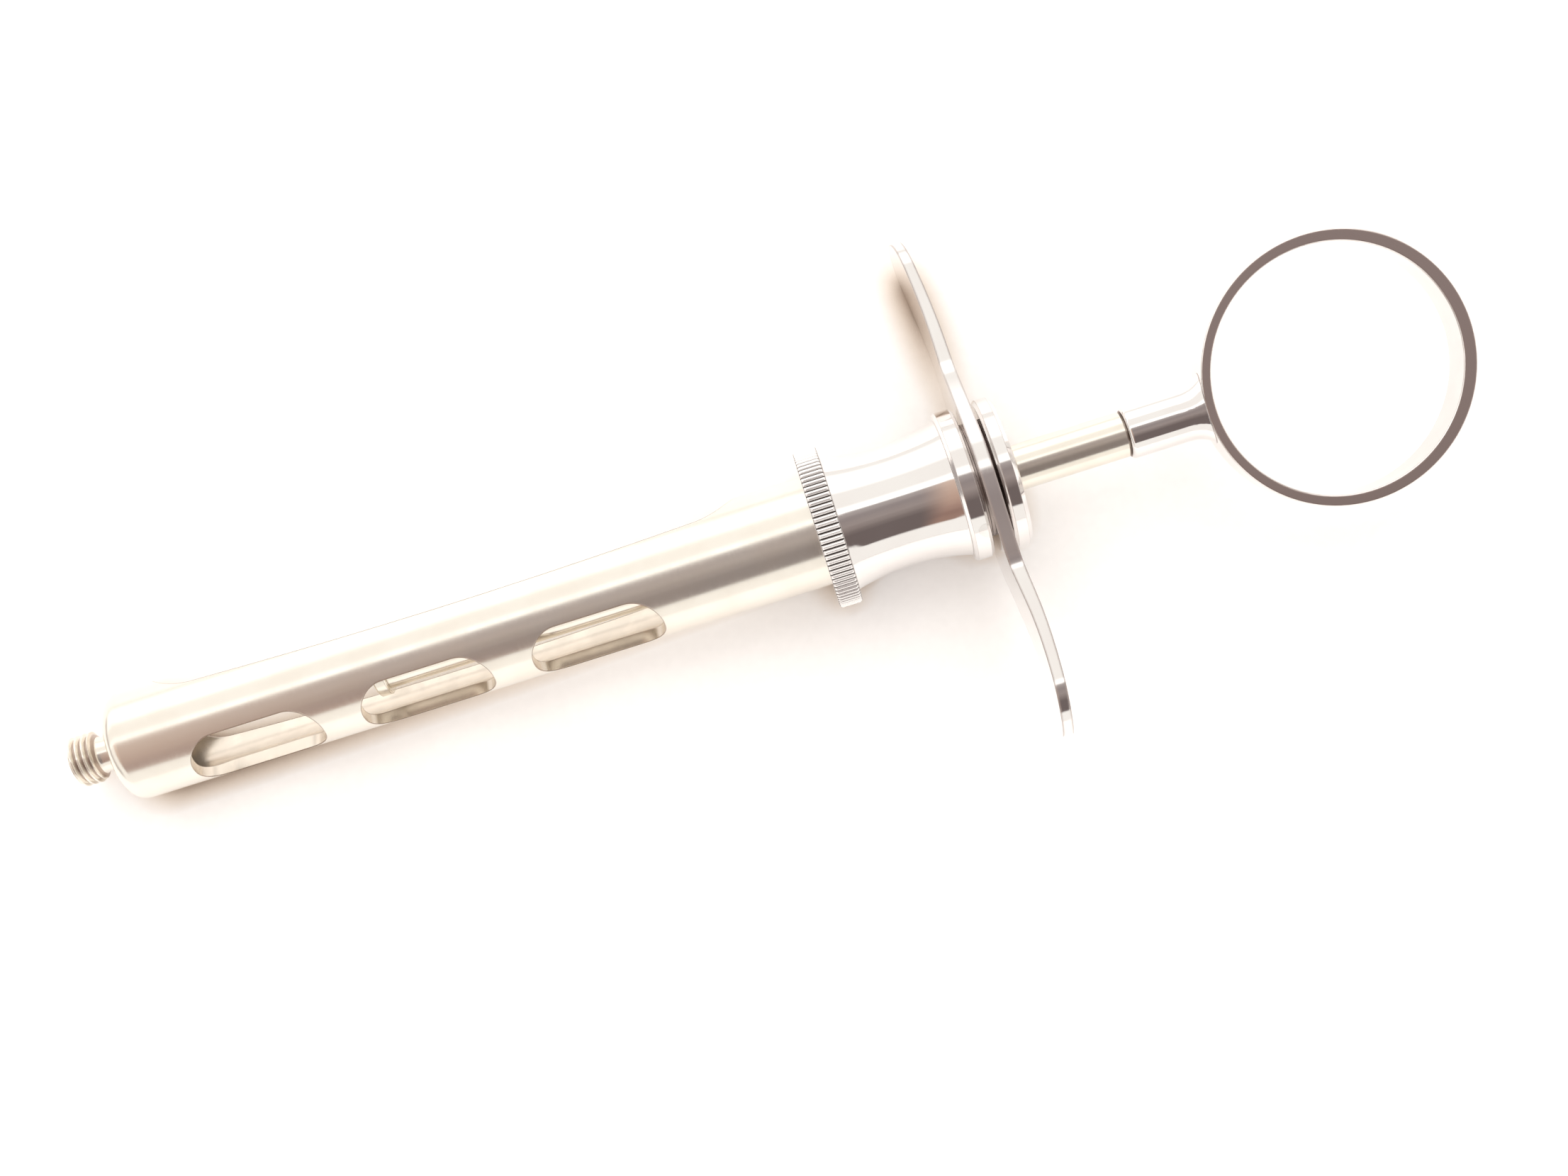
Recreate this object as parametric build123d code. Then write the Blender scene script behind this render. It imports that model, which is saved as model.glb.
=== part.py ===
from build123d import *
import os
from math import cos, pi, radians, sin

# Side-loading dental cartridge syringe with a thumb ring, finger plate and spool handle.
# Frame: the syringe's axis is +X, from the needle thread at x = 0 to the thumb ring.
# +Z is up as the syringe lies on a table, and all sizes are in millimetres.

# ---- barrel and needle end ----
BARREL_OD = 12.6
BARREL_BORE = 10.0
BARREL_LENGTH = 88.2
BARREL_EDGE = 1.7            # rounding of the barrel's front edge
FRONT_WALL = 1.5
THREAD_OD = 5.88             # M6 x 0.75 needle thread, drawn as a plain cylinder
THREAD_LENGTH = 3.1
THREAD_LEAD = 0.3            # chamfer at the thread's start
STUB_LENGTH = 5.6            # thread and neck together
NECK_OD = 4.0
NECK_CONE = 0.4              # length of the cone between thread and neck
NEEDLE_BORE = 1.8
ADAPTOR_SCREW_OD = 7.0       # adaptor's screwed root in the barrel's front wall

# ---- loading slot: a shallow arc along the barrel with a fillet at each end ----
SLOT_FRONT = 17.0
SLOT_REAR = 74.9
SLOT_FLOOR_MID = 0.4         # height of the cut above the axis at mid-length
SLOT_FLOOR_END = 1.2
SLOT_END_R = 6.5
SLOT_END_SWEEP = 70.0        # degrees of fillet arc at each end

# ---- sight windows ----
WINDOW_COUNT = 3
WINDOW_LENGTH = 15.1
WINDOW_WIDTH = 7.4
WINDOW_CORNER = 3.5
WINDOW_PITCH = 19.9
WINDOW_FIRST = 14.1          # front end of the first window

# ---- knurled collar ----
COLLAR_OD = 18.3
COLLAR_FRONT = 88.1
COLLAR_WIDTH = 2.7
COLLAR_EDGE = 0.27
COLLAR_CROWN = 0.036         # how much lower the knurl's ends are than its middle
KNURL_TEETH = 90
KNURL_DEPTH = 0.32

# ---- handle spool ----
SPOOL_FRONT_R = 7.75
SPOOL_WAIST_R = 6.9
SPOOL_WAIST_X = 97.5
SPOOL_SHOULDER_R = 7.85
DISC_OD = 17.3               # spool's rear disc and the guide cap
DISC_FRONT = 104.1
DISC_WIDTH = 2.3
DISC_EDGE = 0.35
CAVITY_END = 100.5           # end of the spring's room inside the spool

# ---- finger plate ----
HALF_SPAN = 30.9             # from the axis to a wing tip
PLATE_THICK = 1.6
PLATE_TIP_THICK = 1.2
PLATE_FLAT = 9.5             # half-length of the flat middle
PLATE_BEND = 18.0            # where each wing turns from leaning back to curling forward
PLATE_SLOPE = -0.12          # forward slope of the wing at its tip
WING_LEANS = {1: 0.05, -1: 0.45}   # backward lean at the bend, +Y wing and -Y wing
WING_CURLS = {1: 1.05, -1: 0.35}   # forward curl at the tip
HUB_R = 8.8
TIP_R = 5.2
TAPER_START = (2.72, 8.37)   # where the hub's circle runs into the taper, across and up
TAPER_MID = (7.65, 6.62)
TAPER_END = (12.4, 4.45)     # narrowest place of a wing, beside the hub
TAPER_FILLET = 5.0
WASHER = 0.4
WASHER_OD = 13.0

# ---- guide cap, bush, seal and gland ----
CAP_WIDTH = 2.1
CAP_EDGE = 0.5
SHANK_R = 4.2                # guide cap's threaded shank
SHANK_FRONT = 99.6
CAP_BORE_R = 3.35
BUSH_FRONT = 100.4
BUSH_REAR = 106.0
SEAL_WIRE_R = 0.35
GLAND_FRONT = 107.8
GLAND_STAND = 0.6            # how far the gland ring stands out of the cap
GLAND_EDGE = 0.2

# ---- snap ring, follower and spring inside the handle ----
SNAP_FRONT = 82.5
SNAP_WIDTH = 0.8
SNAP_BITE = 0.3              # depth of its groove in the bore
SNAP_REACH = 0.7             # how far it stands into the bore
SNAP_GAP = 2.4
FOLLOWER_FLANGE = 1.6
FOLLOWER_SLEEVE = 2.0
FOLLOWER_FLOAT = 0.1
SPRING_REAR = 99.6
SPRING_WIRE = 0.6
SPRING_R = 3.7               # to the wire's centre
SPRING_TURNS = 8
SPRING_CLEAR = 0.02          # between the coil and its seats
SLEEVE_CLEAR = 0.2           # between the sleeve and the coil

# ---- plunger ----
ROD_OD = 5.2
PISTON_FRONT = 35.7
PISTON_THICK = 1.4
PISTON_OD = 6.5
PISTON_EDGE = 0.15
STUD_R = 1.0                 # rod's front stud, inside the piston disc
TANG_R = 2.0                 # rod's rear end, inside the ring's stem
TANG_LENGTH = 5.0

# ---- thumb ring and its stem ----
RING_X = 148.4
RING_ID = 28.0
RING_WALL = 1.3
RING_HEIGHT = 5.0
RING_EDGE = 0.12
RING_SHIFT = 0.2             # the band's outside sits this much behind its bore's centre
STEM_FRONT = 124.3
STEM_R = 3.0
STEM_EDGE = 0.5
# flare from the round stem to the ring: station, half-width in the ring's plane, half-height
STEM_FLARE = ((130.2, 3.0, 3.0), (131.4, 3.02, 3.0), (132.8, 3.35, 2.86), (134.25, 4.7, 2.52))

# ---- turns about the axis, in degrees: positive turns +Y towards +Z ----
SLOT_TURN = -30.0            # loading slot faces +Y and down
WINDOW_TURN = SLOT_TURN + 180.0
PLATE_TURN = -10.3           # the +Y wing rests on the table
RING_TURN = 15.4

# ---- fits ----
RUN = 0.05                   # radial clearance of the sliding and turning fits
FACE_GAP = 0.2               # end float between a moving piece and its stop

# ---- stations and radii that follow ----
BARREL_R = BARREL_OD / 2
BORE_R = BARREL_BORE / 2
ROD_R = ROD_OD / 2
DISC_R = DISC_OD / 2
COLLAR_R = COLLAR_OD / 2
GUIDE_R = ROD_R + RUN
BARREL_FRONT = STUB_LENGTH
CHAMBER_FRONT = BARREL_FRONT + FRONT_WALL
BARREL_REAR = BARREL_FRONT + BARREL_LENGTH
SPOOL_FRONT = COLLAR_FRONT + COLLAR_WIDTH
SPOOL_REAR = DISC_FRONT + DISC_WIDTH
PLATE_FRONT = SPOOL_REAR + WASHER
PLATE_REAR = PLATE_FRONT + PLATE_THICK
CAP_FRONT = PLATE_REAR + WASHER
CAP_REAR = CAP_FRONT + CAP_WIDTH
GLAND_REAR = CAP_REAR + GLAND_STAND
FOLLOWER_FRONT = SNAP_FRONT + SNAP_WIDTH + FOLLOWER_FLOAT
SPRING_FRONT = FOLLOWER_FRONT + FOLLOWER_FLANGE
PISTON_REAR = PISTON_FRONT + PISTON_THICK
TANG_END = STEM_FRONT + TANG_LENGTH
RING_IR = RING_ID / 2
RING_OR = RING_IR + RING_WALL

OVERRUN = 1.0                # how far a cutter passes the face it opens
OVERSIZE = 20.0              # for blanks that are wider than any piece


def along_x(radius, start, end):
    """Solid cylinder about the axis, between two stations."""
    return Pos(start, 0, 0) * Rot(0, 90, 0) * Cylinder(
        radius, end - start, align=(Align.CENTER, Align.CENTER, Align.MIN)
    )


def tube(outer, inner, start, end):
    """Hollow cylinder about the axis."""
    return along_x(outer, start, end) - along_x(inner, start - OVERRUN, end + OVERRUN)


def turned(*lines):
    """Solid of revolution from a closed outline of (x, radius) drawn in the XY plane."""
    return revolve(make_face(Curve() + list(lines)), Axis.X, 360)


def turned_polygon(*points):
    """Solid of revolution from the corners of its (x, radius) outline."""
    return revolve(make_face(Polyline(*points, close=True)), Axis.X, 360)


def broken_edge_disc(radius, start, end, edge):
    """Disc about the axis with both rims chamfered."""
    return turned_polygon(
        (start, 0), (start, radius - edge), (start + edge, radius),
        (end - edge, radius), (end, radius - edge), (end, 0),
    )


# ---- barrel ----

def slot_end_arc(x, side):
    """Fillet from the slot's floor up through the wall, towards the front (-1) or the rear (1)."""
    def point(sweep):
        reach = SLOT_END_R * sin(radians(sweep))
        rise = SLOT_END_R * (1 - cos(radians(sweep)))
        return x + side * reach, SLOT_FLOOR_END + rise

    return ThreePointArc(point(0), point(SLOT_END_SWEEP / 2), point(SLOT_END_SWEEP))


def loading_slot():
    """Cutter that opens one side of the barrel."""
    top = BARREL_R + OVERRUN
    floor = ThreePointArc(
        (SLOT_FRONT, SLOT_FLOOR_END),
        ((SLOT_FRONT + SLOT_REAR) / 2, SLOT_FLOOR_MID),
        (SLOT_REAR, SLOT_FLOOR_END),
    )
    front_arc = slot_end_arc(SLOT_FRONT, -1)
    rear_arc = slot_end_arc(SLOT_REAR, 1)
    front_top = front_arc @ 1
    rear_top = rear_arc @ 1
    lid = Polyline(
        (front_top.X, front_top.Y), (front_top.X, top), (rear_top.X, top), (rear_top.X, rear_top.Y)
    )
    side = make_face(Curve() + [floor, front_arc, rear_arc, lid])
    return Rot(SLOT_TURN, 0, 0) * extrude(side, amount=BARREL_OD, both=True)


def windows():
    """Oblong sight windows in a row, opposite the loading slot."""
    cutters = []
    for i in range(WINDOW_COUNT):
        centre = WINDOW_FIRST + WINDOW_LENGTH / 2 + i * WINDOW_PITCH
        slab = Pos(centre, BARREL_R, 0) * Box(WINDOW_LENGTH, BARREL_OD, WINDOW_WIDTH)
        slab = fillet(slab.edges().filter_by(Axis.Y), WINDOW_CORNER)
        cutters.append(Rot(WINDOW_TURN, 0, 0) * slab)
    return cutters


def barrel_tube():
    edge_x = BARREL_FRONT + BARREL_EDGE
    edge_r = BARREL_R - BARREL_EDGE
    wall = turned(
        Line((BARREL_FRONT, 0), (BARREL_FRONT, edge_r)),
        RadiusArc((BARREL_FRONT, edge_r), (edge_x, BARREL_R), BARREL_EDGE),
        Polyline((edge_x, BARREL_R), (BARREL_REAR, BARREL_R), (BARREL_REAR, 0)),
        Line((BARREL_REAR, 0), (BARREL_FRONT, 0)),
    )
    wall -= along_x(BORE_R, CHAMBER_FRONT, BARREL_REAR + OVERRUN)
    wall -= along_x(ADAPTOR_SCREW_OD / 2, BARREL_FRONT - OVERRUN, CHAMBER_FRONT + OVERRUN)
    wall -= along_x(BORE_R + SNAP_BITE, SNAP_FRONT, SNAP_FRONT + SNAP_WIDTH)
    wall -= loading_slot()
    for cutter in windows():
        wall -= cutter
    return wall


def needle_adaptor():
    """Threaded stub for the needle hub, screwed into the barrel's front wall."""
    thread_r = THREAD_OD / 2
    neck_r = NECK_OD / 2
    screw_r = ADAPTOR_SCREW_OD / 2
    body = turned_polygon(
        (0, 0), (0, thread_r - THREAD_LEAD), (THREAD_LEAD, thread_r), (THREAD_LENGTH, thread_r),
        (THREAD_LENGTH + NECK_CONE, neck_r), (BARREL_FRONT, neck_r), (BARREL_FRONT, screw_r),
        (CHAMBER_FRONT, screw_r), (CHAMBER_FRONT, 0),
    )
    return body - along_x(NEEDLE_BORE / 2, -OVERRUN, CHAMBER_FRONT + OVERRUN)


# ---- handle ----

def knurled_collar():
    """Straight-knurled coupling ring between the barrel and the spool."""
    corners = []
    for i in range(2 * KNURL_TEETH):
        r = COLLAR_R - KNURL_DEPTH * (i % 2)
        turn = pi * i / KNURL_TEETH
        corners.append((r * cos(turn), r * sin(turn)))
    star = Plane.YZ * make_face(Polyline(*corners, close=True))
    ring = Pos(COLLAR_FRONT, 0, 0) * extrude(star, amount=COLLAR_WIDTH)
    middle = (COLLAR_FRONT + SPOOL_FRONT) / 2
    ring &= turned_polygon(
        (COLLAR_FRONT, 0), (COLLAR_FRONT, COLLAR_R - COLLAR_EDGE),
        (COLLAR_FRONT + COLLAR_EDGE, COLLAR_R - COLLAR_CROWN), (middle, COLLAR_R),
        (SPOOL_FRONT - COLLAR_EDGE, COLLAR_R - COLLAR_CROWN),
        (SPOOL_FRONT, COLLAR_R - COLLAR_EDGE), (SPOOL_FRONT, 0),
    )
    return ring - along_x(BARREL_R, COLLAR_FRONT - OVERRUN, SPOOL_FRONT + OVERRUN)


def handle_spool():
    """Waisted grip with a rear disc; the barrel's end and the spring sit inside it."""
    body = turned(
        Line((SPOOL_FRONT, 0), (SPOOL_FRONT, SPOOL_FRONT_R)),
        ThreePointArc(
            (SPOOL_FRONT, SPOOL_FRONT_R),
            (SPOOL_WAIST_X, SPOOL_WAIST_R),
            (DISC_FRONT, SPOOL_SHOULDER_R),
        ),
        Polyline(
            (DISC_FRONT, SPOOL_SHOULDER_R), (DISC_FRONT, DISC_R - DISC_EDGE),
            (DISC_FRONT + DISC_EDGE, DISC_R), (SPOOL_REAR - DISC_EDGE, DISC_R),
            (SPOOL_REAR, DISC_R - DISC_EDGE), (SPOOL_REAR, 0),
        ),
        Line((SPOOL_REAR, 0), (SPOOL_FRONT, 0)),
    )
    body -= along_x(BARREL_R, SPOOL_FRONT - OVERRUN, BARREL_REAR)
    body -= along_x(BORE_R, BARREL_REAR - OVERRUN, CAVITY_END)
    return body - along_x(SHANK_R, CAVITY_END - OVERRUN, SPOOL_REAR + OVERRUN)


def plate_outline():
    """Hub that tapers into two round-ended wings, seen along the axis."""
    tip_y = HALF_SPAN - TIP_R
    edges = []
    for side in (1, -1):
        for height in (1, -1):
            start, middle, waist, tip = [
                (side * y, height * z) for y, z in (TAPER_START, TAPER_MID, TAPER_END, (tip_y, TIP_R))
            ]
            edges += [ThreePointArc(start, middle, waist), Line(waist, tip)]
        edges.append(Line((side * tip_y, TIP_R), (side * tip_y, -TIP_R)))
        edges.append(Line((TAPER_START[0], side * TAPER_START[1]), (-TAPER_START[0], side * TAPER_START[1])))
    shape = make_face(Curve() + edges)
    waists = shape.vertices().filter_by(lambda v: abs(abs(v.X) - TAPER_END[0]) < RUN)
    shape = fillet(waists, TAPER_FILLET) + Circle(HUB_R)
    for side in (1, -1):
        shape += Pos(side * tip_y, 0) * Circle(TIP_R)
    return shape


def finger_plate():
    """Thin plate clamped behind the spool; its wings lean back a little, then curl forward."""
    thin = (PLATE_THICK - PLATE_TIP_THICK) / 2
    end_y = HALF_SPAN + OVERRUN
    sheet = Pos(PLATE_FRONT + PLATE_THICK / 2, 0) * Rectangle(PLATE_THICK, 2 * PLATE_FLAT)
    for side in (1, -1):
        lean, curl = WING_LEANS[side], WING_CURLS[side]
        faces = []
        for start, inset in ((0, thin), (PLATE_THICK, -thin)):
            points = [
                (PLATE_FRONT + start, side * PLATE_FLAT),
                (PLATE_FRONT + start + lean + inset / 2, side * PLATE_BEND),
                (PLATE_FRONT + start + inset - curl, side * end_y),
            ]
            faces.append(Spline(*points, tangents=[(0, side), (PLATE_SLOPE, side)]))
        front, rear = faces
        sheet += make_face(Curve() + [
            front, rear, Line(front @ 0, rear @ 0), Line(front @ 1, rear @ 1),
        ])
    slab = extrude(sheet, amount=OVERSIZE / 2, both=True)
    blank = extrude(Plane.YZ * plate_outline(), amount=PLATE_REAR + OVERSIZE)
    plate = slab & blank
    plate -= along_x(SHANK_R, PLATE_FRONT - OVERSIZE, PLATE_REAR + OVERSIZE)
    return Rot(PLATE_TURN, 0, 0) * plate


def guide_cap():
    """Flanged screw that clamps the finger plate to the spool and guides the rod."""
    body = turned_polygon(
        (SHANK_FRONT, 0), (SHANK_FRONT, SHANK_R), (CAP_FRONT, SHANK_R),
        (CAP_FRONT, DISC_R - DISC_EDGE), (CAP_FRONT + DISC_EDGE, DISC_R),
        (CAP_REAR - CAP_EDGE, DISC_R), (CAP_REAR, DISC_R - CAP_EDGE), (CAP_REAR, 0),
    )
    body -= along_x(CAP_BORE_R, BUSH_FRONT, CAP_REAR + OVERRUN)
    return body - along_x(ROD_R + DISC_EDGE, SHANK_FRONT - OVERRUN, BUSH_FRONT + OVERRUN)


def rod_seal():
    """Rubber ring that gives the plunger its drag."""
    ring = Rot(0, 90, 0) * Torus(GUIDE_R + SEAL_WIRE_R, SEAL_WIRE_R)
    return Pos((BUSH_REAR + GLAND_FRONT) / 2, 0, 0) * ring


def gland_ring():
    """Screwed ring at the cap's mouth that keeps the seal in."""
    body = turned_polygon(
        (GLAND_FRONT, 0), (GLAND_FRONT, CAP_BORE_R), (GLAND_REAR - GLAND_EDGE, CAP_BORE_R),
        (GLAND_REAR, CAP_BORE_R - GLAND_EDGE), (GLAND_REAR, 0),
    )
    return body - along_x(GUIDE_R, GLAND_FRONT - OVERRUN, GLAND_REAR + OVERRUN)


# ---- retracting spring ----

def snap_ring():
    """Open ring in the barrel's groove that stops the spring follower."""
    ring = tube(BORE_R + SNAP_BITE, BORE_R - SNAP_REACH, SNAP_FRONT, SNAP_FRONT + SNAP_WIDTH)
    opening = Pos(SNAP_FRONT, 0, BORE_R) * Box(2 * SNAP_GAP, SNAP_GAP, 2 * SNAP_GAP)
    return ring - Rot(WINDOW_TURN, 0, 0) * opening


def spring_follower():
    """Flanged sleeve on the rod that the piston disc pushes against the spring."""
    sleeve_r = SPRING_R - SPRING_WIRE / 2 - SLEEVE_CLEAR
    sleeve_end = SPRING_FRONT + FOLLOWER_SLEEVE
    body = along_x(BORE_R - 2 * RUN, FOLLOWER_FRONT, SPRING_FRONT)
    body += along_x(sleeve_r, FOLLOWER_FRONT, sleeve_end)
    return body - along_x(ROD_R + 2 * RUN, FOLLOWER_FRONT - OVERRUN, sleeve_end + OVERRUN)


def return_spring():
    start_x = SPRING_FRONT + SPRING_WIRE / 2 + SPRING_CLEAR
    height = SPRING_REAR - SPRING_WIRE / 2 - SPRING_CLEAR - start_x
    path = Helix(pitch=height / SPRING_TURNS, height=height, radius=SPRING_R)
    section = Plane(path @ 0, z_dir=path % 0) * Circle(SPRING_WIRE / 2)
    return Pos(start_x, 0, 0) * Rot(0, 90, 0) * sweep(section, path=path)


# ---- plunger ----

def piston_rod():
    """Straight rod with a reduced rear end that carries the thumb ring's stem."""
    rod_end = STEM_FRONT - FACE_GAP
    return turned_polygon(
        (PISTON_FRONT, 0), (PISTON_FRONT, STUD_R), (PISTON_REAR, STUD_R), (PISTON_REAR, ROD_R),
        (rod_end, ROD_R), (rod_end, TANG_R), (TANG_END, TANG_R), (TANG_END, 0),
    )


def piston_disc():
    disc = broken_edge_disc(PISTON_OD / 2, PISTON_FRONT, PISTON_REAR, PISTON_EDGE)
    return disc - along_x(STUD_R, PISTON_FRONT - OVERRUN, PISTON_REAR + OVERRUN)


def harpoon():
    """Barbed point that hooks the cartridge's rubber stopper."""
    root, neck_r, barb_r, collar_r = PISTON_FRONT, 0.6, 1.1, 1.4
    return turned_polygon(
        (root - 5.0, 0), (root - 2.9, barb_r), (root - 2.9, neck_r), (root - 2.4, neck_r),
        (root - 0.9, barb_r), (root - 0.9, neck_r), (root - 0.5, neck_r), (root - 0.5, collar_r),
        (root, collar_r), (root, 0),
    )


def ring_stem():
    """Sleeve between the rod and the thumb ring, flared where it meets the ring."""
    flare_from = STEM_FLARE[0][0]
    edge_x = STEM_FRONT + STEM_EDGE
    edge_r = STEM_R - STEM_EDGE
    body = turned(
        Line((STEM_FRONT, 0), (STEM_FRONT, edge_r)),
        RadiusArc((STEM_FRONT, edge_r), (edge_x, STEM_R), STEM_EDGE),
        Polyline((edge_x, STEM_R), (flare_from, STEM_R), (flare_from, 0), (STEM_FRONT, 0)),
    )
    sections = [
        Pos(x, 0, 0) * (Plane.YZ * Ellipse(half_width, half_height))
        for x, half_width, half_height in STEM_FLARE
    ]
    body += loft(sections)
    body -= Pos(RING_X + RING_SHIFT, 0, 0) * Cylinder(RING_OR, OVERSIZE)
    body -= along_x(TANG_R + RUN, STEM_FRONT - OVERRUN, TANG_END + FACE_GAP)
    return Rot(RING_TURN, 0, 0) * body


def thumb_ring():
    """Flat band standing along the axis, a little thicker at the rear than at the stem."""
    band = Pos(RING_SHIFT, 0, 0) * Cylinder(RING_OR, RING_HEIGHT)
    band -= Cylinder(RING_IR, RING_HEIGHT)
    band = chamfer(band.edges().filter_by(GeomType.CIRCLE), RING_EDGE)
    return Rot(RING_TURN, 0, 0) * Pos(RING_X, 0, 0) * band


# ---- write one file per piece ----

PIECES = {
    "barrel_tube": barrel_tube(),
    "needle_adaptor": needle_adaptor(),
    "knurled_collar": knurled_collar(),
    "handle_spool": handle_spool(),
    "front_washer": tube(WASHER_OD / 2, SHANK_R, SPOOL_REAR, PLATE_FRONT),
    "finger_plate": finger_plate(),
    "rear_washer": tube(WASHER_OD / 2, SHANK_R, PLATE_REAR, CAP_FRONT),
    "guide_cap": guide_cap(),
    "guide_bush": tube(CAP_BORE_R, GUIDE_R, BUSH_FRONT, BUSH_REAR),
    "rod_seal": rod_seal(),
    "gland_ring": gland_ring(),
    "snap_ring": snap_ring(),
    "spring_follower": spring_follower(),
    "return_spring": return_spring(),
    "piston_rod": piston_rod(),
    "piston_disc": piston_disc(),
    "harpoon": harpoon(),
    "ring_stem": ring_stem(),
    "thumb_ring": thumb_ring(),
}

os.makedirs("parts", exist_ok=True)
for name, piece in PIECES.items():
    export_step(piece, f"parts/{name}.step")
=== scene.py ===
import math

import bmesh
import bpy
from mathutils import Matrix, Vector


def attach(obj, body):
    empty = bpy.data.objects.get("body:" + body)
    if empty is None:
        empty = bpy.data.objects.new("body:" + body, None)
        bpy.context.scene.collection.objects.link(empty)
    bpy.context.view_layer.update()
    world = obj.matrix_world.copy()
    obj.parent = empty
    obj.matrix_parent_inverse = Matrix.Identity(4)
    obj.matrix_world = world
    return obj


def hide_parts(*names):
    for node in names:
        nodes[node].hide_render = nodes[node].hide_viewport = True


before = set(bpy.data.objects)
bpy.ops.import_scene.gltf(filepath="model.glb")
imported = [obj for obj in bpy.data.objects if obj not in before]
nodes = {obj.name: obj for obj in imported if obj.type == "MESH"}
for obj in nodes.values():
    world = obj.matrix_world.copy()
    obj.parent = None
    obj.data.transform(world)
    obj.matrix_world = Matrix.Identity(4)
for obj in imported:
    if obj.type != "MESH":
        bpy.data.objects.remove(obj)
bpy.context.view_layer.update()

MM = 0.001

# ------------------------------------------------------ camera, at the photograph's viewing angle
LENS_MM = 45.84
SENSOR_MM = 36.0
CAM_PLACE = (88.53 * MM, -42.57 * MM, 220.56 * MM)
CAM_RIGHT = Vector((0.9539, -0.2908, -0.0745))
CAM_BACK = Vector((0.0259, -0.1673, 0.9856))

cam_data = bpy.data.cameras.new("camera")
cam_data.lens = LENS_MM
cam_data.sensor_width = SENSOR_MM
cam_data.sensor_fit = "HORIZONTAL"
cam_data.clip_start = 0.005
cam_data.clip_end = 20.0
camera = bpy.data.objects.new("camera", cam_data)
bpy.context.scene.collection.objects.link(camera)
back = CAM_BACK.normalized()
right = (CAM_RIGHT - back * CAM_RIGHT.dot(back)).normalized()
up = back.cross(right)
camera.matrix_world = Matrix.Translation(CAM_PLACE) @ Matrix((
    (right.x, up.x, back.x),
    (right.y, up.y, back.y),
    (right.z, up.z, back.z),
)).to_4x4()
bpy.context.scene.camera = camera
bpy.context.scene.view_settings.view_transform = "Standard"


# ------------------------------------------------------ node helpers
def new_tree(owner):
    """Empty node tree of a world or material."""
    owner.use_nodes = True
    tree = owner.node_tree
    tree.nodes.clear()
    return tree


def add(tree, kind, inputs=None, **props):
    """New node with its settings; an input is a value or another node's output."""
    node = tree.nodes.new(kind)
    for key, value in props.items():
        setattr(node, key, value)
    for key, value in (inputs or {}).items():
        if isinstance(value, bpy.types.NodeSocket):
            tree.links.new(value, node.inputs[key])
        else:
            node.inputs[key].default_value = value
    return node


def maths(tree, operation, a, b=0.0):
    return add(tree, "ShaderNodeMath", {0: a, 1: b}, operation=operation).outputs[0]


def ramp(tree, factor, stops):
    """Colour ramp through (place, colour) stops."""
    node = add(tree, "ShaderNodeValToRGB", {"Fac": factor})
    node.color_ramp.interpolation = "LINEAR"
    elements = node.color_ramp.elements
    while len(elements) > 1:
        elements.remove(elements[-1])
    for i, (place, colour) in enumerate(stops):
        element = elements[0] if i == 0 else elements.new(place)
        element.position = place
        element.color = (*colour, 1.0)
    return node.outputs["Color"]


def span(tree, value, low, high, out_low=0.0, out_high=1.0):
    """Smooth step of value from low to high, between the two outputs."""
    return add(tree, "ShaderNodeMapRange", {
        "Value": value, "From Min": low, "From Max": high, "To Min": out_low, "To Max": out_high,
    }, interpolation_type="SMOOTHSTEP").outputs["Result"]


def mix(tree, factor, a, b, blend="MIX"):
    """Blend of two colours, each a value or another node's output."""
    node = add(tree, "ShaderNodeMix", data_type="RGBA", blend_type=blend)
    for key, value in ((0, factor), (6, a), (7, b)):
        if isinstance(value, bpy.types.NodeSocket):
            tree.links.new(value, node.inputs[key])
        else:
            node.inputs[key].default_value = value if key == 0 else (*value, 1.0)
    return node.outputs[2]


# ------------------------------------------------------ surroundings: white, with a dark patch overhead
world = bpy.data.worlds.new("studio")
bpy.context.scene.world = world
tree = new_tree(world)
coords = add(tree, "ShaderNodeTexCoord")
axes = add(tree, "ShaderNodeSeparateXYZ", {0: coords.outputs["Generated"]})
angle = maths(tree, "ARCTAN2", maths(tree, "MULTIPLY", axes.outputs["Y"], -1.0), axes.outputs["Z"])
turn = maths(tree, "ADD", maths(tree, "DIVIDE", angle, 2.0 * math.pi), 0.5)


def at(degrees):
    """Place on the world's ramps of an angle from straight up towards -Y."""
    return 0.5 + degrees / 360.0


SOFT_WHITE = (1.07, 1.03, 0.98)
BRIGHT = (1.5, 1.46, 1.42)
sky = ramp(tree, turn, [
    (at(-180), SOFT_WHITE), (at(-84), SOFT_WHITE),
    (at(-77), BRIGHT), (at(-47), BRIGHT),
    (at(-41), SOFT_WHITE), (at(-16), SOFT_WHITE),
    (at(-12), BRIGHT), (at(-5), BRIGHT),
    (at(-2), SOFT_WHITE), (at(180), SOFT_WHITE),
])
NEUTRAL_SHADE = (0.18, 0.143, 0.136)
ROOM_SHADE = (0.48, 0.43, 0.41)
shade = ramp(tree, turn, [
    (at(-5), (0.52, 0.46, 0.44)), (at(8), (0.33, 0.28, 0.27)), (at(20), (0.37, 0.31, 0.29)),
    (at(29), (0.27, 0.22, 0.205)), (at(37), NEUTRAL_SHADE), (at(66), NEUTRAL_SHADE),
])
side = maths(tree, "DIVIDE", axes.outputs["X"], maths(tree, "MAXIMUM", axes.outputs["Z"], 0.02))
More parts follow.
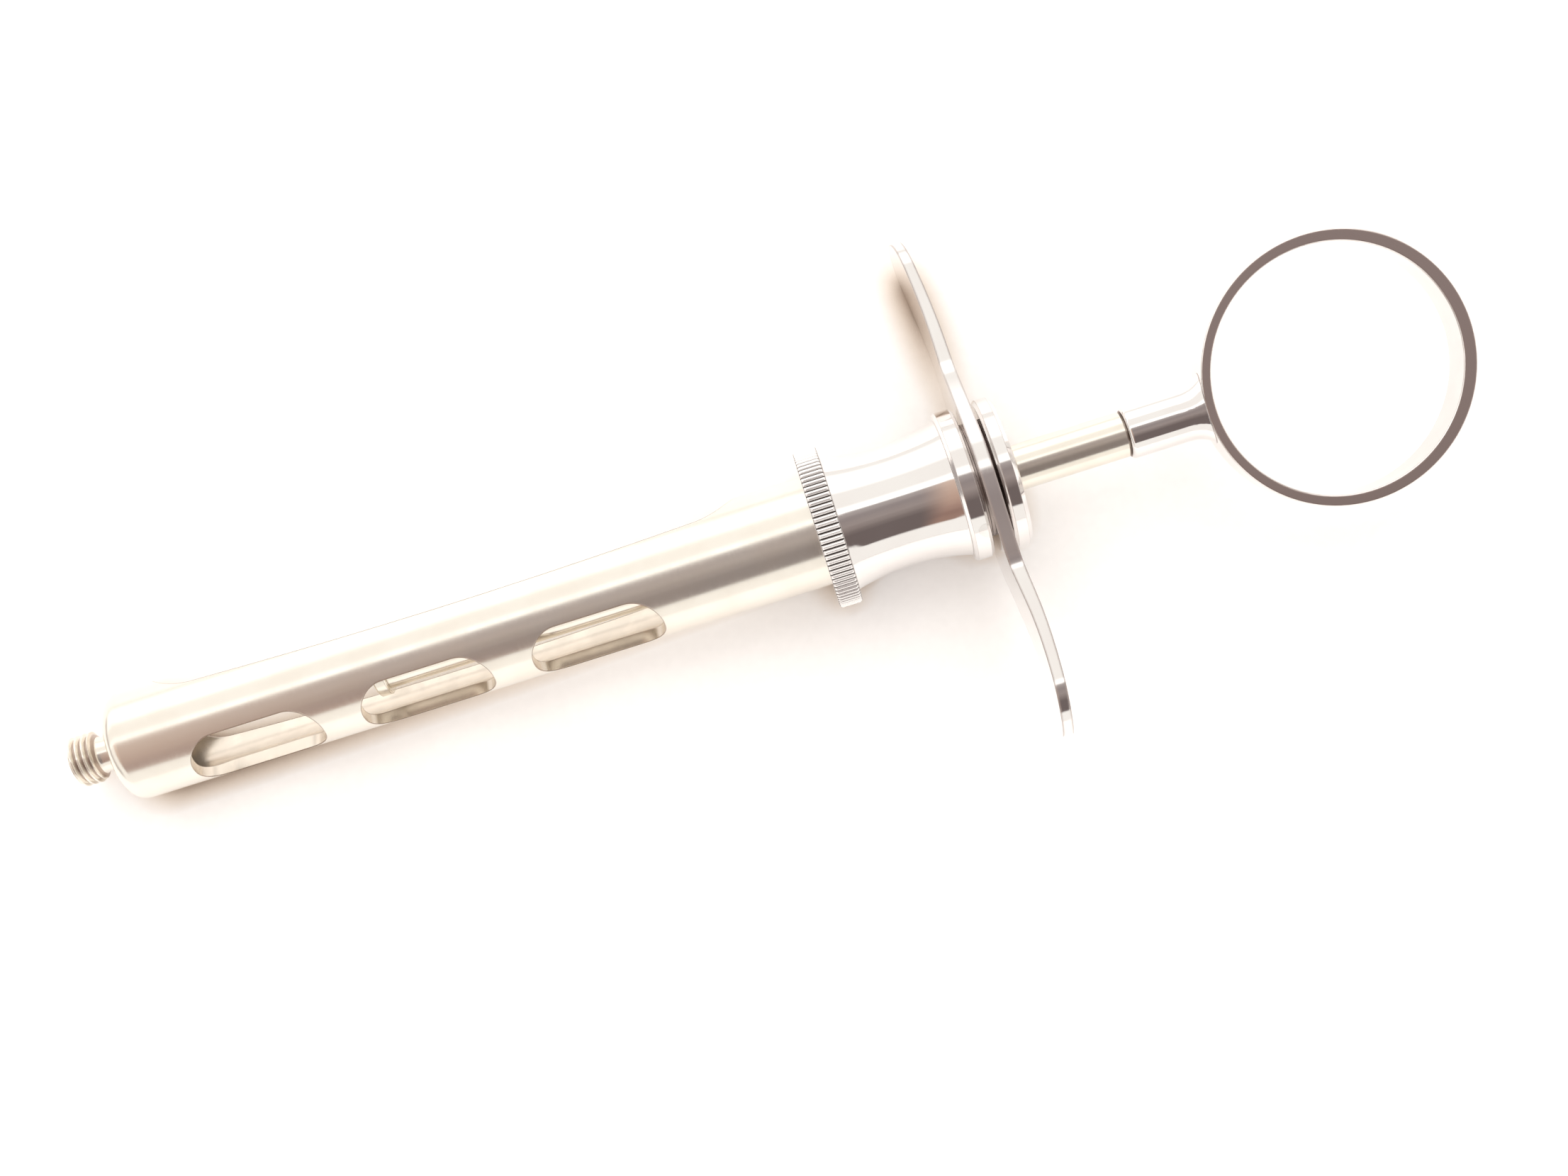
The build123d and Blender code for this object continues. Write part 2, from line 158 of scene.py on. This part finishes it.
warm_shade = ramp(tree, turn, [
    (at(-5), (0.80, 0.60, 0.49)), (at(20), (0.62, 0.43, 0.34)), (at(30), (0.56, 0.38, 0.30)),
    (at(40), (0.46, 0.30, 0.24)), (at(51), (0.34, 0.21, 0.17)), (at(62), (0.38, 0.24, 0.19)),
])
shade = mix(tree, span(tree, side, -0.14, -0.52), shade, warm_shade)
patch_y = span(tree, angle, math.radians(-5.0), math.radians(-1.0))
patch_end = span(tree, angle, math.radians(67.0), math.radians(63.5))
patch_x = span(tree, maths(tree, "ABSOLUTE", side), 0.95, 0.80)
patch = maths(tree, "MULTIPLY", maths(tree, "MULTIPLY", patch_y, patch_end), patch_x)
low_rise = span(tree, axes.outputs["Z"], 0.0, 0.05)
low_fall = span(tree, axes.outputs["Z"], 0.34, 0.22)
ends = span(tree, maths(tree, "ABSOLUTE", axes.outputs["X"]), 0.60, 0.85)
room = maths(tree, "MULTIPLY", maths(tree, "MULTIPLY", low_rise, low_fall), ends)
tint = mix(tree, room, mix(tree, patch, sky, shade), ROOM_SHADE)
surround = add(tree, "ShaderNodeBackground", {"Color": tint, "Strength": 1.0})
add(tree, "ShaderNodeOutputWorld", {"Surface": surround.outputs[0]})


# ------------------------------------------------------ soft lights: a window (+Y side) and a panel (-Y side)
LIGHTS_AIM = Vector((0.085, 0, 0))


def soft_light(name, place, width, height, energy, colour):
    """Large soft light that brightens the floor and casts soft shadows; the tight shadows where the syringe
    meets the floor are painted into the floor's colour.
    """
    light = bpy.data.lights.new(name, "AREA")
    light.shape = "RECTANGLE"
    light.size, light.size_y = width, height
    light.energy = energy
    light.color = colour
    lamp = bpy.data.objects.new(name, light)
    lamp.location = place
    lamp.rotation_mode = "QUATERNION"
    lamp.rotation_quaternion = (LIGHTS_AIM - lamp.location).to_track_quat("-Z", "Y")
    lamp.visible_glossy = False
    lamp.visible_camera = False
    bpy.context.scene.collection.objects.link(lamp)


soft_light("window_light", (0.10, 0.42, 0.62), 0.9, 0.6, 2.2, (1.0, 0.985, 0.965))
soft_light("fill_panel", (0.085, -0.35, 0.70), 1.1, 0.8, 3.4, (0.96, 0.98, 1.0))

# ------------------------------------------------------ floor, tilted as the syringe rests on it
FLOOR_SLOPE = 0.03455
FLOOR_X = 7.0 * MM
FLOOR_Z = -6.32 * MM
FLOOR_HALF = 2.0
STEPS = 24


def floor_height(x):
    return FLOOR_Z - FLOOR_SLOPE * (x - FLOOR_X)


mesh = bmesh.new()
grid = []
for i in range(STEPS + 1):
    row = []
    for j in range(STEPS + 1):
        x = (i / STEPS * 2 - 1) * FLOOR_HALF
        y = (j / STEPS * 2 - 1) * FLOOR_HALF
        row.append(mesh.verts.new((x, y, floor_height(x))))
    grid.append(row)
for i in range(STEPS):
    for j in range(STEPS):
        mesh.faces.new((grid[i][j], grid[i + 1][j], grid[i + 1][j + 1], grid[i][j + 1]))
data = bpy.data.meshes.new("floor")
mesh.to_mesh(data)
mesh.free()
floor = bpy.data.objects.new("floor", data)
bpy.context.scene.collection.objects.link(floor)
material = bpy.data.materials.new("pale_floor")
tree = new_tree(material)
coords = add(tree, "ShaderNodeTexCoord")
grain = add(tree, "ShaderNodeTexNoise", {"Vector": coords.outputs["Object"], "Scale": 900.0, "Detail": 3.0})
colour = ramp(tree, grain.outputs["Fac"], [(0.3, (0.94, 0.92, 0.90)), (0.7, (0.96, 0.94, 0.92))])
# Painted contact shadow: ambient occlusion turns the floor's colour warm brown close to the syringe.
near = add(tree, "ShaderNodeAmbientOcclusion", {"Distance": 4.0 * MM}, samples=12)
painted_contact_shadow = ramp(tree, near.outputs["AO"], [
    (0.20, (0.16, 0.11, 0.08)), (0.48, (0.36, 0.27, 0.21)),
    (0.70, (0.80, 0.71, 0.62)), (0.98, (1.0, 1.0, 1.0)),
])
colour = mix(tree, 1.0, colour, painted_contact_shadow, "MULTIPLY")
shader = add(tree, "ShaderNodeBsdfPrincipled", {
    "Base Color": colour, "Roughness": 0.85, "Specular IOR Level": 0.2,
})
add(tree, "ShaderNodeOutputMaterial", {"Surface": shader.outputs[0]})
data.materials.append(material)


# ------------------------------------------------------ materials
def metal(name, light, dark, rough, sheen_share=1.0, bevel=0.12, lay=0.05, painted_edge_shade=None, recess_shade=None,
          painted_face_shade=None):
    """Plated or polished metal: cloudy colour, fine lay marks and worn, rounded edges.
    sheen_share is the mirror-like part, the rest is a dull haze. painted_edge_shade paints a dark line of
    shade along the sharp edges.
    recess_shade = (radius where it is full, radius where it ends, colour, added roughness, station from,
    station to) paints shade onto what lies near the axis. painted_face_shade = (axis, colour) paints a darker
    reflection onto the faces across that axis."""
    material = bpy.data.materials.new(name)
    tree = new_tree(material)
    place = add(tree, "ShaderNodeTexCoord").outputs["Object"]
    cloud = add(tree, "ShaderNodeTexNoise", {"Vector": place, "Scale": 210.0, "Detail": 4.0})
    lanes = add(tree, "ShaderNodeMapping", {"Vector": place, "Scale": (9000.0, 700.0, 700.0)})
    lines = add(tree, "ShaderNodeTexNoise", {"Vector": lanes.outputs[0], "Scale": 1.0, "Detail": 2.0})
    patchy = span(tree, cloud.outputs["Fac"], 0.35, 0.65)
    colour = mix(tree, patchy, dark, light)
    shade_mottle_noise = add(tree, "ShaderNodeTexNoise", {"Vector": place, "Scale": 380.0, "Detail": 3.0})
    shade_mottle = span(tree, shade_mottle_noise.outputs["Fac"], 0.40, 0.70)
    level = span(tree, cloud.outputs["Fac"], 0.35, 0.65, rough * 1.12, rough * 0.92)
    level = maths(tree, "ADD", level, span(tree, lines.outputs["Fac"], 0.3, 0.7, -0.02, 0.02))
    # Painted shade: surfaces within the given radius of the axis, between the given stations, take the darker
    # colour, mottled a little.
    if recess_shade:
        low, high, recess_shade_colour, deep_rough, x_from, x_to = recess_shade
        axes = add(tree, "ShaderNodeSeparateXYZ", {0: place})
        square = maths(tree, "ADD", maths(tree, "POWER", axes.outputs["Y"], 2.0),
                       maths(tree, "POWER", axes.outputs["Z"], 2.0))
        recess_shade_mask = span(tree, maths(tree, "SQRT", square), high * MM, low * MM)
        for limit, fade in ((x_from, -0.03), (x_to, 0.03)):
            part = span(tree, axes.outputs["X"], (limit + fade) * MM, limit * MM)
            recess_shade_mask = maths(tree, "MULTIPLY", recess_shade_mask, part)
        mottled_recess_shade = mix(tree, shade_mottle, tuple(0.90 * c for c in recess_shade_colour), recess_shade_colour)
        colour = mix(tree, recess_shade_mask, colour, mottled_recess_shade)
        level = maths(tree, "ADD", level, maths(tree, "MULTIPLY", recess_shade_mask, deep_rough))
    # Painted darker reflection: faces across the given axis take a darker colour.
    if painted_face_shade:
        axis, face_shade_colour = painted_face_shade
        outward = add(tree, "ShaderNodeTexCoord").outputs["Normal"]
        across = add(tree, "ShaderNodeVectorMath", {0: outward, 1: axis}, operation="DOT_PRODUCT")
        flat = span(tree, maths(tree, "ABSOLUTE", across.outputs["Value"]), 0.90, 0.98)
        colour = mix(tree, flat, colour, face_shade_colour)
    edge = add(tree, "ShaderNodeBevel", {"Radius": bevel * MM}, samples=6)
    # Painted edge shade: a dark line where the rounded-edge normal turns away from the plain normal, standing
    # in for the dark reflection in small edge fillets.
    if painted_edge_shade:
        plain = add(tree, "ShaderNodeNewGeometry")
        same = add(tree, "ShaderNodeVectorMath", {0: edge.outputs["Normal"], 1: plain.outputs["Normal"]},
                   operation="DOT_PRODUCT")
        colour = mix(tree, span(tree, same.outputs["Value"], 0.995, 0.93), colour, painted_edge_shade)
    bump = add(tree, "ShaderNodeBump", {
        "Height": lines.outputs["Fac"], "Strength": lay, "Distance": 0.01 * MM,
        "Normal": edge.outputs["Normal"],
    })
    shader = add(tree, "ShaderNodeBsdfPrincipled", {
        "Base Color": colour, "Metallic": sheen_share, "Roughness": level, "Normal": bump.outputs["Normal"],
    })
    add(tree, "ShaderNodeOutputMaterial", {"Surface": shader.outputs[0]})
    return material


NICKEL = (0.885, 0.845, 0.77)
NICKEL_DARK = (0.86, 0.81, 0.73)
# Painted edge shade colour for the dark lines along the nickel edges.
NICKEL_EDGE_SHADE = (0.30, 0.21, 0.16)
CHROME = (0.865, 0.85, 0.835)
CHROME_DARK = (0.85, 0.825, 0.81)
# Painted edge shade colour for the dark lines along the chrome edges.
CHROME_EDGE_SHADE = (0.46, 0.40, 0.38)
nickel = metal("satin_nickel", (0.88, 0.835, 0.75), (0.85, 0.80, 0.71), 0.17, 0.92, painted_edge_shade=NICKEL_EDGE_SHADE)
# Painted shade darkens the barrel's bore and the cut faces of its windows and slot.
barrel_nickel = metal("barrel_nickel", NICKEL, NICKEL_DARK, 0.19, 0.89, bevel=0.20, painted_edge_shade=NICKEL_EDGE_SHADE,
                      recess_shade=(6.10, 6.26, (0.84, 0.76, 0.66), 0.02, 7.5, 88.0))
# Painted shade darkens the thread's grooves.
thread_nickel = metal("thread_nickel", NICKEL, NICKEL_DARK, 0.20, 0.92, bevel=0.04,
                      recess_shade=(2.46, 2.66, (0.55, 0.45, 0.39), 0.10, 0.3, 3.2))
chrome = metal("polished_chrome", CHROME, CHROME_DARK, 0.05, lay=0.02, painted_edge_shade=CHROME_EDGE_SHADE)
plate_chrome = metal("plate_chrome", CHROME, CHROME_DARK, 0.07, bevel=0.42, lay=0.03, painted_edge_shade=CHROME_EDGE_SHADE)
# Painted shade darkens the stem's front face at its step from the piston rod.
stem_chrome = metal("stem_chrome", CHROME, CHROME_DARK, 0.06, lay=0.02, painted_edge_shade=CHROME_EDGE_SHADE,
                    recess_shade=(3.20, 3.30, (0.34, 0.25, 0.22), 0.3, 124.2, 124.33))
# Painted shade darkens the knurl's grooves.
collar_chrome = metal("knurled_chrome", (0.93, 0.915, 0.90), (0.90, 0.88, 0.865), 0.26, 0.78, bevel=0.03,
                      lay=0.02, recess_shade=(8.90, 9.02, (0.10, 0.07, 0.06), 0.2, 88.14, 90.76))
RING_AXIS = (0.0, -0.2656, 0.9641)
# Painted edge shade along the ring's edges and a painted darker reflection on its flat faces.
ring_chrome = metal("ring_chrome", CHROME, CHROME_DARK, 0.12, bevel=0.14, lay=0.03,
                    painted_edge_shade=(0.34, 0.24, 0.20), painted_face_shade=(RING_AXIS, (0.67, 0.60, 0.58)))
# The washers' dark colours are painted shade for the slits they sit in; the rear one is near-black.
front_washer_shade = metal("front_washer_steel_painted_shade", (0.52, 0.45, 0.42), (0.42, 0.35, 0.32), 0.35)
rear_washer_shade = metal("rear_washer_steel_painted_shade", (0.14, 0.10, 0.09), (0.10, 0.07, 0.06), 0.45)
steel = metal("spring_steel", (0.60, 0.58, 0.56), (0.52, 0.50, 0.48), 0.26)
brass = metal("brass_liner", (0.80, 0.63, 0.36), (0.74, 0.57, 0.31), 0.28)

rubber = bpy.data.materials.new("seal_rubber")
tree = new_tree(rubber)
place = add(tree, "ShaderNodeTexCoord").outputs["Object"]
grain = add(tree, "ShaderNodeTexNoise", {"Vector": place, "Scale": 2400.0, "Detail": 3.0})
colour = ramp(tree, grain.outputs["Fac"], [(0.3, (0.035, 0.034, 0.034)), (0.7, (0.06, 0.058, 0.057))])
bump = add(tree, "ShaderNodeBump", {"Height": grain.outputs["Fac"], "Strength": 0.3, "Distance": 0.02 * MM})
shader = add(tree, "ShaderNodeBsdfPrincipled", {
    "Base Color": colour, "Roughness": 0.6, "Normal": bump.outputs["Normal"],
})
add(tree, "ShaderNodeOutputMaterial", {"Surface": shader.outputs[0]})

LOOKS = {
    "barrel_tube": barrel_nickel, "needle_adaptor": nickel, "knurled_collar": collar_chrome,
    "handle_spool": chrome, "front_washer": front_washer_shade, "finger_plate": plate_chrome,
    "rear_washer": rear_washer_shade, "guide_cap": chrome, "guide_bush": brass, "rod_seal": rubber,
    "gland_ring": nickel, "snap_ring": steel, "spring_follower": nickel, "return_spring": steel,
    "piston_rod": nickel, "piston_disc": nickel, "harpoon": nickel, "ring_stem": stem_chrome,
    "thumb_ring": ring_chrome,
}
for name, look in LOOKS.items():
    nodes[name].data.materials.clear()
    nodes[name].data.materials.append(look)

# ------------------------------------------------------ turned pieces
def turned_piece(name, profile, around, radius_at, sharp_degrees, look):
    """Closed mesh turned from (station, radius) corners in mm, with the given number of steps around.
    Where a corner's radius is None, radius_at(station, step) gives it."""
    mesh = bmesh.new()
    rings = []
    for x, r in profile:
        ring = []
        for k in range(around):
            radius = radius_at(x, k) if r is None else r
            turn = 2 * math.pi * k / around
            ring.append(mesh.verts.new((x * MM, radius * math.cos(turn) * MM, radius * math.sin(turn) * MM)))
        rings.append(ring)
    for i in range(len(rings)):
        a, b = rings[i], rings[(i + 1) % len(rings)]
        for k in range(around):
            n = (k + 1) % around
            mesh.faces.new((a[k], a[n], b[n], b[k])).smooth = True
    bmesh.ops.recalc_face_normals(mesh, faces=mesh.faces)
    data = bpy.data.meshes.new(name)
    mesh.to_mesh(data)
    mesh.free()
    data.set_sharp_from_angle(angle=math.radians(sharp_degrees))
    data.materials.append(look)
    piece = bpy.data.objects.new(name, data)
    bpy.context.scene.collection.objects.link(piece)
    return piece


# ------------------------------------------------------ needle adaptor with its real M6 x 0.75 thread
SIDES = 144
PITCH = 0.75
CREST_R = 2.94
ROOT_R = 2.46
THREAD_FROM, THREAD_TO = 0.25, 2.95
LOFT_FROM, LOFT_STEP = 0.2, 0.03


def thread_radius(x, step):
    """Radius of the threaded stretch at station x (mm) for one step round the thread."""
    phase = (x / PITCH - step / SIDES) % 1.0
    wave = 1.0 - abs(2.0 * phase - 1.0)
    wave = min(1.0, max(0.0, (wave - 0.12) / 0.70))
    wave = wave * wave * (3 - 2 * wave) * 0.5 + wave * 0.5
    start = min(1.0, max(0.0, (x - THREAD_FROM + 0.35) / 0.6))
    finish = min(1.0, max(0.0, (THREAD_TO + 0.15 - x) / 0.35))
    return ROOT_R + (CREST_R - ROOT_R) * wave * start * finish


profile = [(0.35, 0.90), (0.06, 0.93), (0.0, 1.0), (0.0, 2.0), (0.03, 2.22), (0.11, 2.38)]
stations = int((THREAD_TO - LOFT_FROM) / LOFT_STEP) + 1
profile += [(LOFT_FROM + LOFT_STEP * i, None) for i in range(stations)]
profile += [(3.02, 2.40), (3.14, 2.24), (3.28, 2.08), (3.45, 2.01), (3.7, 1.99), (4.5, 1.99), (5.2, 1.99),
            (5.45, 2.03), (5.6, 2.12), (5.6, 3.49), (7.09, 3.49), (7.09, 0.90)]
adaptor = turned_piece("needle_adaptor_threaded", profile, SIDES, thread_radius, 50, thread_nickel)
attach(adaptor, "barrel")
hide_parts("needle_adaptor")

# ------------------------------------------------------ knurled collar with rounded ribs
TEETH = 90
RIB_STEPS = 10
COLLAR_R = 9.15
KNURL_ROOT_R = 8.83
COLLAR_BORE_R = 6.3
COLLAR_FROM, COLLAR_TO = 88.1, 90.8
COLLAR_CHAMFER = 0.26


def rib_radius(x, step):
    """Outer radius of the collar at station x (mm) for one step round a rib."""
    crest = abs(math.sin(math.pi * (step % RIB_STEPS) / RIB_STEPS)) ** 0.8
    end = min(x - COLLAR_FROM, COLLAR_TO - x)
    ease = max(0.0, 1.0 - end / COLLAR_CHAMFER)
    return min(KNURL_ROOT_R + (COLLAR_R - KNURL_ROOT_R) * crest, COLLAR_R - COLLAR_CHAMFER * ease)


offsets = [0.0, 0.04, 0.10, 0.18, 0.26, 0.40]
stations = [COLLAR_FROM + o for o in offsets] + [COLLAR_FROM + 0.9, COLLAR_TO - 0.9]
stations += [COLLAR_TO - o for o in reversed(offsets)]
profile = [(x, None) for x in stations] + [(COLLAR_TO, COLLAR_BORE_R), (COLLAR_FROM, COLLAR_BORE_R)]
collar = turned_piece("knurled_collar_ribbed", profile, TEETH * RIB_STEPS, rib_radius, 38, collar_chrome)
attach(collar, "barrel")
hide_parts("knurled_collar")
